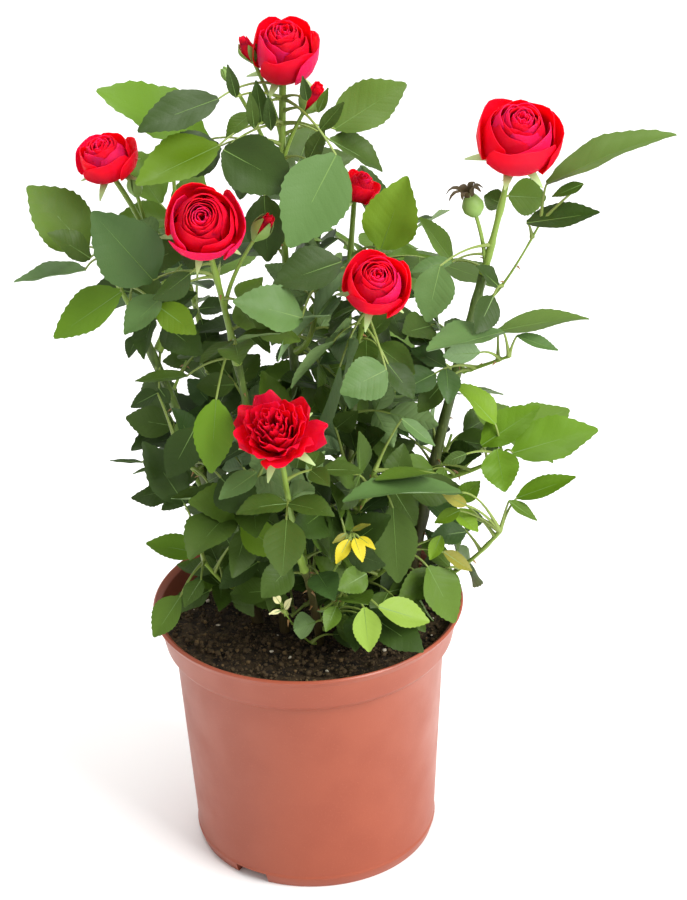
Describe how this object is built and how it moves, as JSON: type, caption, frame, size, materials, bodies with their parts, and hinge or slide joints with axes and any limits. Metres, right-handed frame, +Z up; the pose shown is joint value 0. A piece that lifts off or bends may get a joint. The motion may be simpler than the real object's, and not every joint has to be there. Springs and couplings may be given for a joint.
{
  "type": "potted rose bush",
  "caption": "Miniature rose bush in a round tapered nursery pot: upright canes from the soil carry toothed compound leaves, round red blooms and small buds.",
  "frame": {"origin": "middle of the pot's underside, on the surface that it stands on", "axes": "+Z up from the pot's underside to the top bloom; -Y towards the side that the picture shows, +X to its right"},
  "size_m": [0.2342, 0.1734, 0.3345],
  "materials": {
    "pot_plastic": "satin, terracotta colour",
    "soil": "moist crumbs of peat",
    "bark": "smooth green bark, browner near the soil",
    "foliage": "leathery satin leaves; petals velvety"
  },
  "bodies": {
    "root": {"pot": "pot_plastic", "soil": "soil", "cane_left": "bark", "cane_mid_left": "bark", "cane_centre": "bark", "cane_front": "bark", "cane_mid_right": "bark", "cane_right": "bark", "cane_back_left": "bark", "cane_back_right": "bark", "top_bloom_shoot": "foliage", "bloom_shoot_mid_left": "foliage", "left_shoot": "foliage", "left_bloom_shoot": "foliage", "centre_spray": "foliage", "bloom_shoot_mid_right": "foliage", "bloom_shoot_back": "foliage", "right_bloom_shoot": "foliage", "right_tip_shoot": "foliage", "right_mid_spray": "foliage", "right_low_spray": "foliage", "right_twig_spray": "foliage", "low_right_spray": "foliage", "right_back_spray": "foliage", "centre_low_spray": "foliage", "front_bloom_shoot": "foliage", "low_front_spray": "foliage", "left_mid_spray": "foliage", "low_left_spray": "foliage", "mid_left_spray": "foliage", "left_back_spray": "foliage", "back_left_shoot": "foliage", "back_right_shoot": "foliage", "back_left_spray": "foliage", "back_right_spray": "foliage"}
  },
  "joints": []
}
